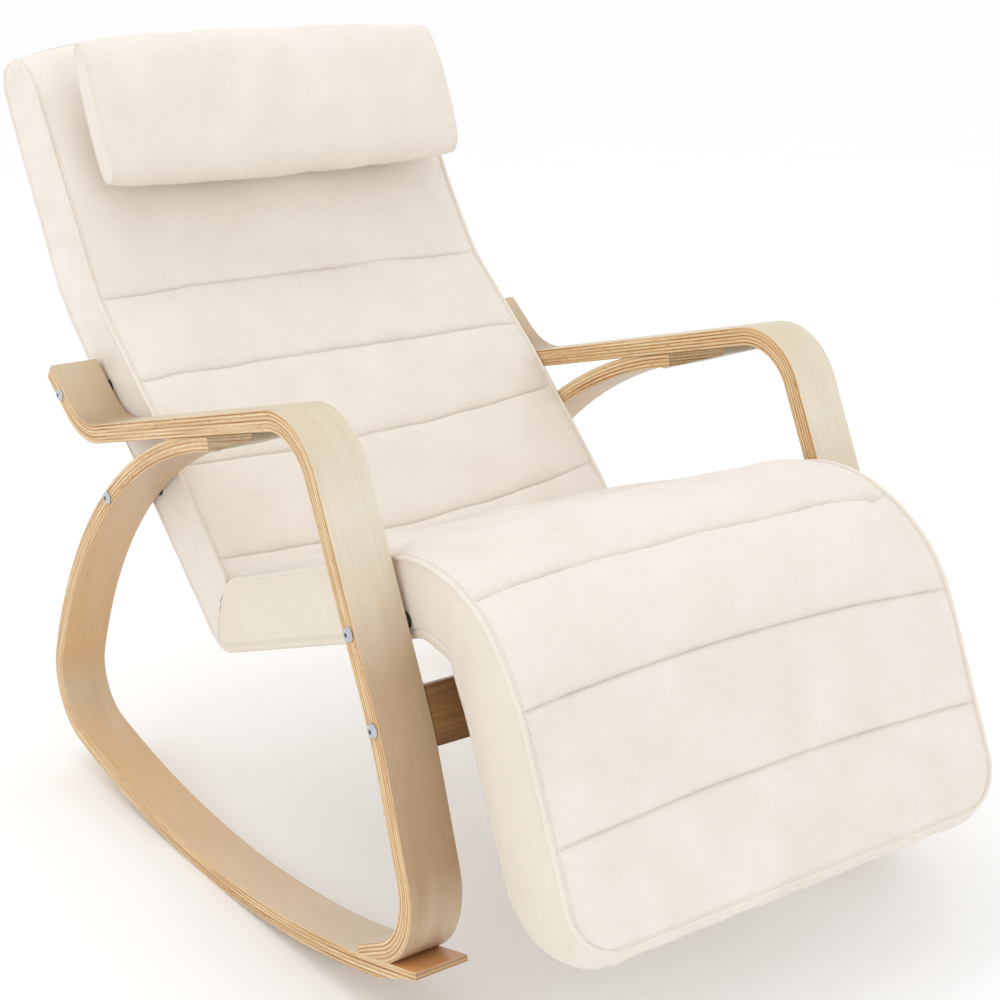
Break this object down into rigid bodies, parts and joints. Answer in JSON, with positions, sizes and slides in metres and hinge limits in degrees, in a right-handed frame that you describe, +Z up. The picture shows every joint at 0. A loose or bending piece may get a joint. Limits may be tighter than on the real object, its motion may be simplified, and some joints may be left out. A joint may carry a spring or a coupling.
{
  "type": "rocking recliner armchair",
  "caption": "Bentwood rocking armchair with a reclined upholstered seat and back, a fold-up padded footrest under the knees and a head pillow that slides along the back.",
  "frame": {"origin": "on the floor under the middle of the chair's bounding box", "axes": "+Z up, the sitter faces -Y, +X is the chair's left side seen by the sitter"},
  "size_m": [0.6976, 1.1856, 0.8975],
  "materials": {
    "birch_plywood": "satin",
    "wedge_wood": "satin",
    "stained_wood": "satin",
    "canvas": "matte",
    "lining": "matte",
    "webbing": "matte",
    "hook_tape": "matte",
    "black_steel": "satin",
    "zinc": "satin"
  },
  "bodies": {
    "frame": {"arm_and_leg_left": "birch_plywood", "arm_and_leg_right": "birch_plywood", "arm_wedge_left": "wedge_wood", "arm_wedge_right": "wedge_wood", "back_bolt_left": "zinc", "back_bolt_right": "zinc", "back_boss_left": "black_steel", "back_boss_right": "black_steel", "back_cushion": "canvas", "back_loop_tape": "hook_tape", "back_rear_cover": "lining", "back_strap_1": "webbing", "back_strap_2": "webbing", "barrel_nut_left": "zinc", "barrel_nut_right": "zinc", "crossbar_bolt_left": "zinc", "crossbar_bolt_right": "zinc", "foot_screw_left": "zinc", "foot_screw_right": "zinc", "front_crossbar": "stained_wood", "head_strap_1": "webbing", "head_strap_2": "webbing", "head_tube": "black_steel", "hinge_axle": "zinc", "hinge_plate_left": "black_steel", "hinge_plate_right": "black_steel", "knee_roll": "canvas", "knee_tube": "black_steel", "lumbar_cross_tube": "black_steel", "riser_bolt_left": "zinc", "riser_bolt_right": "zinc", "riser_boss_left": "black_steel", "riser_boss_right": "black_steel", "riser_screw_left": "zinc", "riser_screw_right": "zinc", "rocker_left": "birch_plywood", "rocker_right": "birch_plywood", "seat_bolt_left": "zinc", "seat_bolt_right": "zinc", "seat_boss_left": "black_steel", "seat_boss_right": "black_steel", "seat_cushion": "canvas", "seat_strap_1": "webbing", "seat_strap_2": "webbing", "seat_under_cover": "lining", "shoulder_cross_tube": "black_steel", "side_tube_left": "black_steel", "side_tube_right": "black_steel"},
    "footrest": {"footrest_cushion": "canvas", "footrest_rear_cover": "lining", "footrest_strap_1": "webbing", "footrest_strap_2": "webbing", "footrest_tube": "black_steel", "ratchet_arm_left": "zinc", "ratchet_arm_right": "zinc"},
    "pillow": {"head_pillow": "canvas", "pillow_hook_tape": "hook_tape"}
  },
  "joints": [
    {"name": "footrest_hinge", "type": "hinge", "parent": "frame", "child": "footrest", "pos_m": [0, -0.4073, 0.437], "axis": [-1, 0, 0], "range_deg": [0, 75]},
    {"name": "pillow_slide", "type": "slide", "parent": "frame", "child": "pillow", "axis": [0, -0.496, -0.8683], "range_m": [0, 0.12]}
  ]
}
